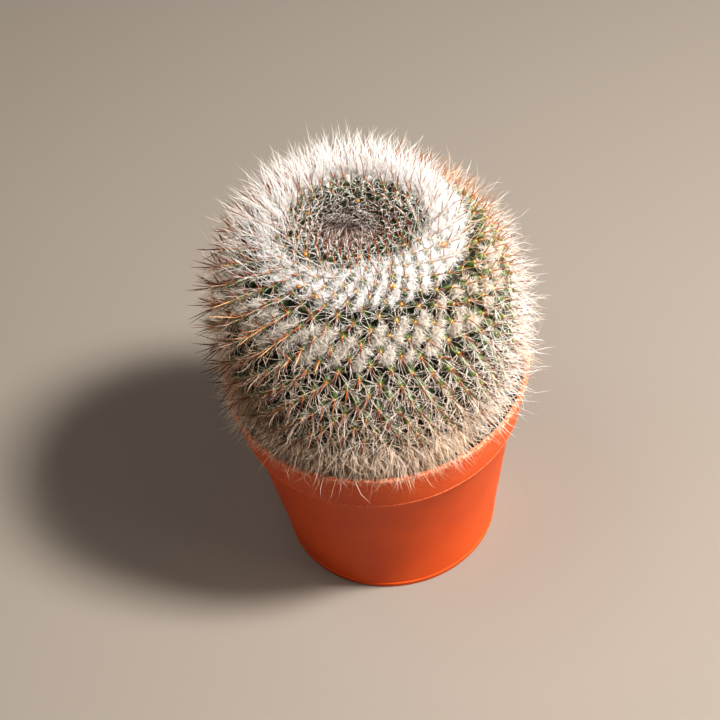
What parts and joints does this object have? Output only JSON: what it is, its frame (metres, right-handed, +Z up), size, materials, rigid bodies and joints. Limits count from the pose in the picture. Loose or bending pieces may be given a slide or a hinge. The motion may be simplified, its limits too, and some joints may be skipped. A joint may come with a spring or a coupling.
{
  "type": "potted pincushion cactus",
  "caption": "Round spiny pincushion cactus with a ring of white wool round its sunken crown, in a tapered round plastic nursery pot with a flared collar, to stand on a flat surface",
  "frame": {"origin": "middle of the pot's foot, on the surface that the pot stands on", "axes": "+Z up along the pot's axis; -Y is the side that faces the camera; +X to its right"},
  "size_m": [0.1209, 0.1216, 0.1567],
  "materials": {
    "pot_plastic": "satin, injection moulded, terracotta coloured",
    "potting_mix": "loose damp peat, bark and grit, matt",
    "cactus_skin": "living cactus skin, waxy and dark bluish green, with pale spines",
    "cactus_wool": "white plant wool, matt and fluffy"
  },
  "bodies": {
    "root": {"pot": "pot_plastic", "potting_mix": "potting_mix", "cactus": "cactus_skin", "crown_wool": "cactus_wool"}
  },
  "joints": []
}
